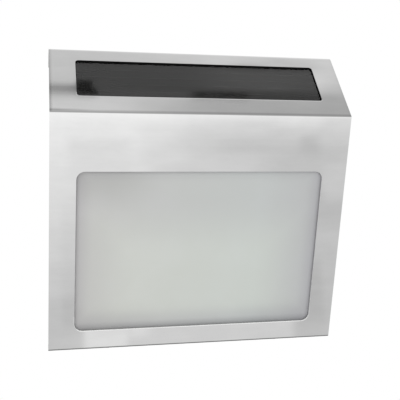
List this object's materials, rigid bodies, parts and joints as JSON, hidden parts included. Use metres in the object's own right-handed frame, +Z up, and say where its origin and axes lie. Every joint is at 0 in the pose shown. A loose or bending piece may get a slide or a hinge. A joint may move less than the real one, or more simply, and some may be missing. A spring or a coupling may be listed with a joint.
{
  "type": "solar house number light",
  "caption": "Wedge-shaped solar wall light for a house number: bent steel cover, lit milky panel, solar panel on the slope.",
  "frame": {"origin": "on the wall plane, midway between the entries of the two keyholes in the back cover", "axes": "+X to the viewer's right along the wall, +Y into the wall, +Z up"},
  "size_m": [0.2, 0.0454, 0.203],
  "materials": {
    "steel_cover": "fine brushed stainless sheet",
    "front_housing": "finely textured black plastic",
    "back_cover": "finely textured black plastic",
    "back_screws": "zinc-plated steel",
    "flange_screws": "stainless steel",
    "number_panel": "milky acrylic, satin",
    "number_panel_seal": "foam rubber",
    "reflector": "white plastic",
    "solar_glass": "clear glass",
    "solar_film": "dark brown-black photovoltaic film",
    "solar_backing": "dark board",
    "solar_tape": "foam tape",
    "solar_leads": "insulated wire",
    "led_board": "white circuit board",
    "leds": "white diodes with yellow phosphor",
    "led_leads": "insulated wire",
    "main_board": "green circuit board",
    "board_screws": "zinc-plated steel",
    "driver_chip": "moulded black package",
    "inductor": "ferrite",
    "capacitor": "printed sleeve, bare",
    "switch_can": "tinned steel",
    "switch_base": "brown board",
    "switch_slider": "black plastic",
    "battery_cell": "nickel-plated steel",
    "battery_sleeve": "bare green shrink sleeve",
    "battery_spring": "nickel-plated wire",
    "positive_contact": "nickel-plated strip",
    "negative_contact": "nickel-plated strip",
    "battery_leads": "insulated wire",
    "battery_door": "finely textured black plastic",
    "battery_pad": "foam rubber"
  },
  "bodies": {
    "light": {"steel_cover": "steel_cover", "front_housing": "front_housing", "back_cover": "back_cover", "back_screws": "back_screws", "flange_screws": "flange_screws", "number_panel": "number_panel", "number_panel_seal": "number_panel_seal", "reflector": "reflector", "solar_glass": "solar_glass", "solar_film": "solar_film", "solar_backing": "solar_backing", "solar_tape": "solar_tape", "solar_leads": "solar_leads", "led_board": "led_board", "leds": "leds", "led_leads": "led_leads", "main_board": "main_board", "board_screws": "board_screws", "driver_chip": "driver_chip", "inductor": "inductor", "capacitor": "capacitor", "switch_can": "switch_can", "switch_base": "switch_base", "battery_cell": "battery_cell", "battery_sleeve": "battery_sleeve", "battery_spring": "battery_spring", "positive_contact": "positive_contact", "negative_contact": "negative_contact", "battery_leads": "battery_leads"},
    "door": {"battery_door": "battery_door", "battery_pad": "battery_pad"},
    "slider": {"switch_slider": "switch_slider"}
  },
  "joints": [
    {"name": "battery_door_hinge", "type": "hinge", "parent": "light", "child": "door", "pos_m": [0, -0.0025, -0.01105], "axis": [1, 0, 0], "range_deg": [0, 95]},
    {"name": "switch_slide", "type": "slide", "parent": "light", "child": "slider", "axis": [1, 0, 0], "range_m": [0, 0.002]}
  ]
}
